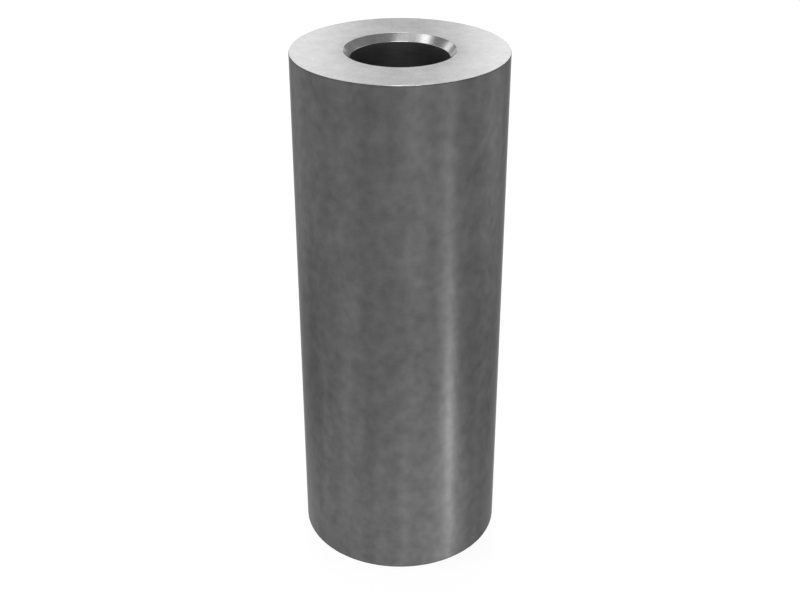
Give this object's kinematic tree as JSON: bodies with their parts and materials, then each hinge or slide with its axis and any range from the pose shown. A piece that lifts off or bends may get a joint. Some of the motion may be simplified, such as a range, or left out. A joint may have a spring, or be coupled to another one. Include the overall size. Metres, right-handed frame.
{
  "type": "headless clevis pin",
  "caption": "Headless steel clevis pin: a plain turned cylinder with an axial through bore, countersunk at each end, that links the ears of a clevis and takes a retaining bolt.",
  "frame": {"origin": "centre of the lower end face, on which the pin stands", "axes": "+Z along the pin's axis, up from the lower end face to the upper one"},
  "size_m": [0.0254, 0.0254, 0.0651],
  "materials": {
    "steel": "dark satin round the body, bright turned end faces"
  },
  "bodies": {
    "root": {"clevis_pin": "steel"}
  },
  "joints": []
}
